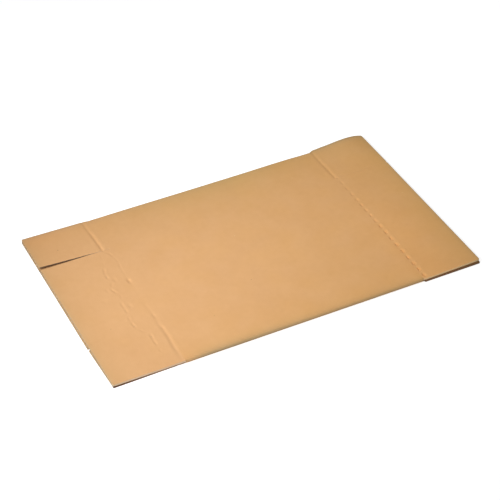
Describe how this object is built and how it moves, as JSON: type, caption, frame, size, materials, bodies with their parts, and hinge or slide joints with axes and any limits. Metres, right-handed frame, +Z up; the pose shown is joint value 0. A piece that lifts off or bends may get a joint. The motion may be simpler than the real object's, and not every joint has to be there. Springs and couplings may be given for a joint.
{
  "type": "flattened cardboard box",
  "caption": "Corrugated shipping box folded flat: a glued sleeve of narrow and wide panels with end flaps that hinge at pressed scores.",
  "frame": {"origin": "on the ground under the middle of the folded box, at the bottom centre of its bounding box", "axes": "+X along the flutes, from one row of flaps to the other; +Y from the near fold to the far fold; +Z up, through the two layers"},
  "size_m": [0.4894, 0.29, 0.0103],
  "materials": {
    "kraft_board": "matt brown kraft paper over fluting"
  },
  "bodies": {
    "sleeve": {"box_sleeve": "kraft_board"},
    "narrow_left": {"narrow_flap_left": "kraft_board"},
    "wide_left": {"wide_flap_left": "kraft_board"},
    "narrow_right": {"narrow_flap_right": "kraft_board"},
    "wide_right": {"wide_flap_right": "kraft_board"}
  },
  "joints": [
    {"name": "narrow_left_fold", "type": "hinge", "parent": "sleeve", "child": "narrow_left", "pos_m": [-0.1625, 0.112, 0.0063], "axis": [0, 1, 0], "range_deg": [0, 170]},
    {"name": "wide_left_fold", "type": "hinge", "parent": "sleeve", "child": "wide_left", "pos_m": [-0.155, -0.0325, 0.0063], "axis": [0, 1, 0], "range_deg": [0, 170]},
    {"name": "narrow_right_fold", "type": "hinge", "parent": "sleeve", "child": "narrow_right", "pos_m": [0.166, 0.112, 0.0063], "axis": [0, -1, 0], "range_deg": [0, 170]},
    {"name": "wide_right_fold", "type": "hinge", "parent": "sleeve", "child": "wide_right", "pos_m": [0.168, -0.0325, 0.0063], "axis": [0, -1, 0], "range_deg": [0, 170]}
  ]
}
